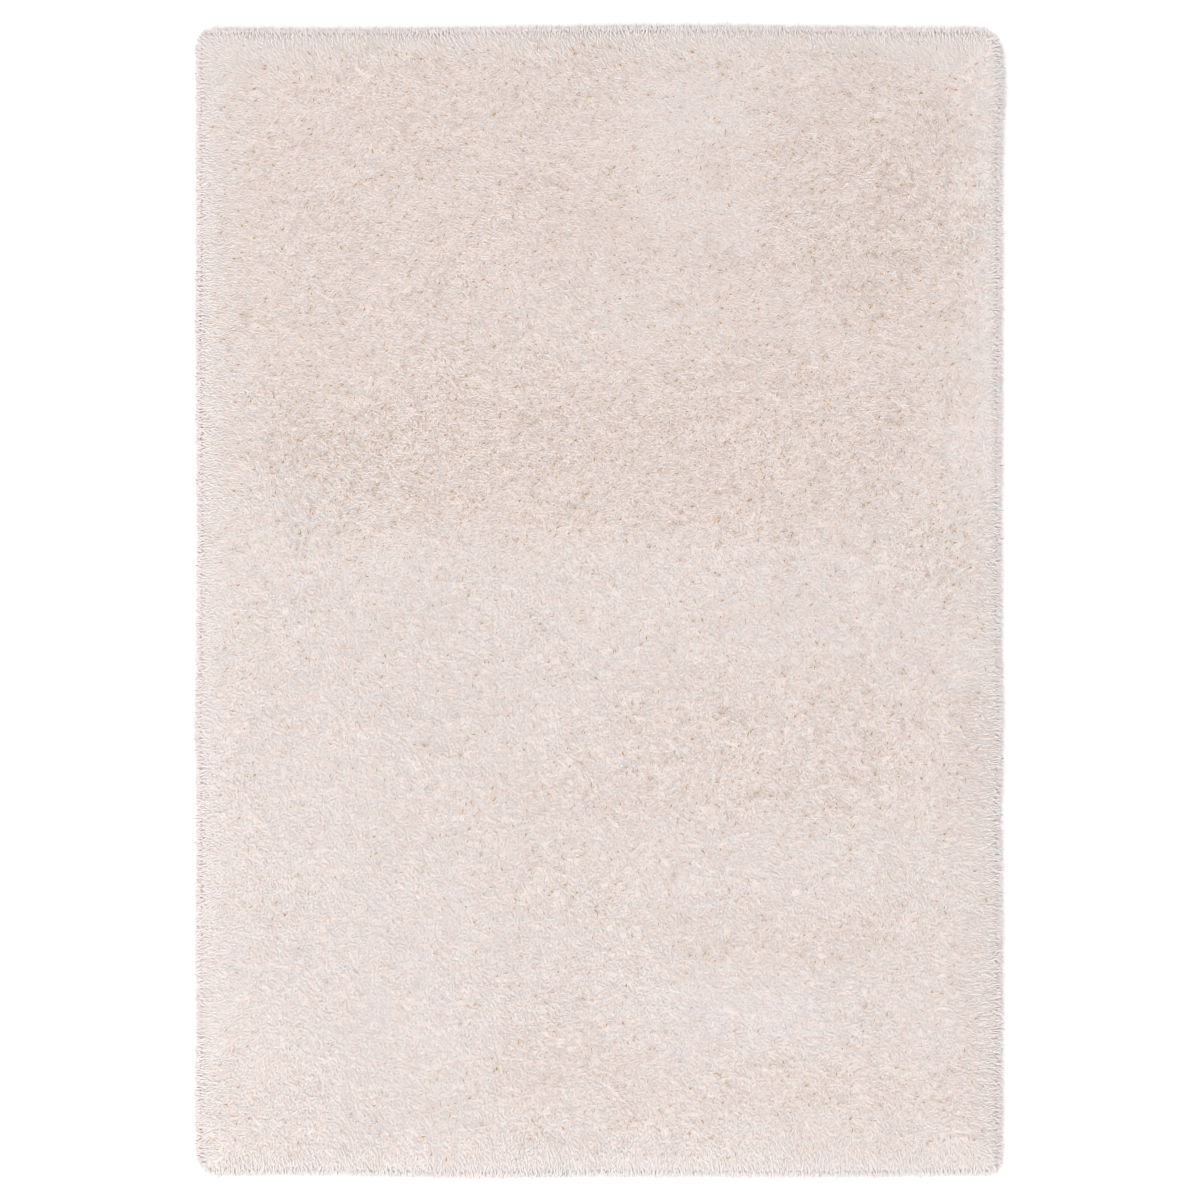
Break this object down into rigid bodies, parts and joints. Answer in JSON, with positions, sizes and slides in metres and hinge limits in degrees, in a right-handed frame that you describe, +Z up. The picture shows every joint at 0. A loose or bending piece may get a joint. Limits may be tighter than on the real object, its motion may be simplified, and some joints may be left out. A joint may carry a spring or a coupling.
{
  "type": "shag rug",
  "caption": "Rectangular cream shag pile rug lying flat, with rounded corners and soft pile leaning out over its edges.",
  "frame": {"origin": "middle of the flat underside's footprint, on the floor", "axes": "+Z up from the floor, +Y along the rug's length towards its head end, +X across its width"},
  "size_m": [1.6474, 2.3476, 0.0352],
  "materials": {
    "pile": "warm cream long pile with a faint blush, matt with a soft sheen",
    "ground_cloth": "plain woven backing cloth with a thin latex coat, matt"
  },
  "bodies": {
    "root": {"rug": "pile"}
  },
  "joints": []
}
